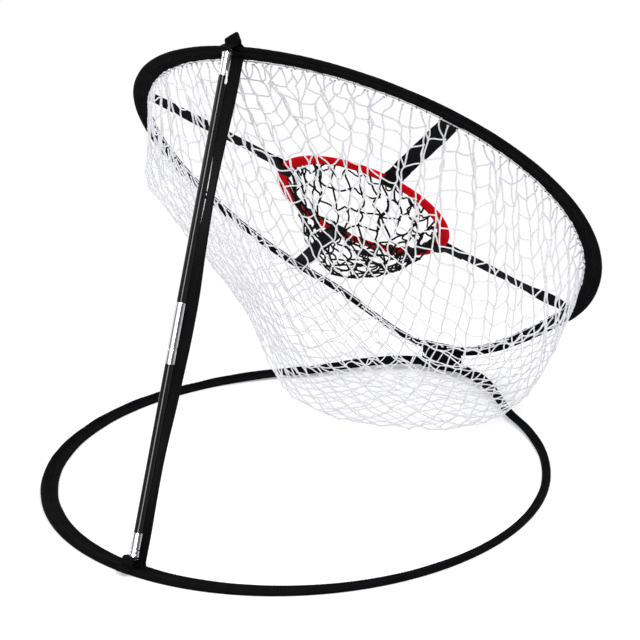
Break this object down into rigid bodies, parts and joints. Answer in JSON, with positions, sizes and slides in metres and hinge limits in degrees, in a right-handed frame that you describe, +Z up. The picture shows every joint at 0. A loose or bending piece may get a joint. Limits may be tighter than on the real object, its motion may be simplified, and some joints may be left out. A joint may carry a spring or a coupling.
{
  "type": "golf chipping net",
  "caption": "Free-standing practice net: a flat sprung hoop and a leaning one, tied at the front and propped by a pole, with a net bag and a small target ring with a pocket.",
  "frame": {"origin": "on the floor, under the middle of the base hoop's back, where the pole stands", "axes": "+Z up, -Y towards the player's side where the two hoops meet, +X to the player's right"},
  "size_m": [0.509, 0.5667, 0.4374],
  "materials": {
    "spring_wire": "satin",
    "crimp": "satin",
    "sleeve_fabric": "matt woven polyester",
    "webbing": "matt woven webbing",
    "eyelet": "polished",
    "rod": "glossy",
    "ferrule": "polished",
    "elastic": "matt",
    "cord_stop": "matt",
    "white_net": "knotted polyester cord",
    "red_fabric": "matt woven polyester",
    "black_net": "knotted polyester cord"
  },
  "bodies": {
    "base_hoop": {"base_spring_hoop": "spring_wire", "base_hoop_crimp": "crimp", "base_sleeve": "sleeve_fabric", "hinge_wrap": "sleeve_fabric", "foot_tab": "webbing", "rear_strap": "webbing"},
    "upper_hoop": {"upper_spring_hoop": "spring_wire", "upper_hoop_crimp": "crimp", "upper_sleeve": "sleeve_fabric", "head_tab": "webbing", "head_eyelet": "eyelet", "head_eyelet_washer": "eyelet", "net_bag": "white_net", "net_edge_cord": "white_net", "target_sleeve": "red_fabric", "target_wire": "spring_wire", "target_crimp": "crimp", "pocket_net": "black_net", "target_strap_low_right": "webbing", "target_strap_high_right": "webbing", "target_strap_high_left": "webbing", "target_strap_low_left": "webbing"},
    "lower_pole": {"lower_rod": "rod", "centre_ferrule": "ferrule", "foot_tip": "ferrule", "foot_eyelet": "eyelet", "foot_eyelet_washer": "eyelet", "shock_cord": "elastic", "cord_stop_lower": "cord_stop"},
    "upper_pole": {"upper_rod": "rod", "head_tip": "ferrule", "cord_stop_upper": "cord_stop"}
  },
  "joints": [
    {"name": "hoop_fold", "type": "hinge", "parent": "base_hoop", "child": "upper_hoop", "pos_m": [0, -0.544, 0.0275], "axis": [1, 0, 0], "range_deg": [-46, 0], "deforming": ["net_bag", "pocket_net", "hinge_wrap", "foot_tab", "head_tab", "rear_strap"]},
    {"name": "pole_swing", "type": "hinge", "parent": "base_hoop", "child": "lower_pole", "pos_m": [0, -0.004, 0.0103], "axis": [1, 0, 0], "range_deg": [-112, 0]},
    {"name": "rod_pull", "type": "slide", "parent": "lower_pole", "child": "upper_pole", "axis": [0, -0.3752, 0.9269], "range_m": [0, 0.036], "deforming": ["shock_cord"]}
  ],
  "couplings": [
    {"joint": "pole_swing", "follows": "hoop_fold", "ratio": 2.413},
    {"joint": "rod_pull", "follows": "hoop_fold", "m_per_rad": -0.0436}
  ]
}
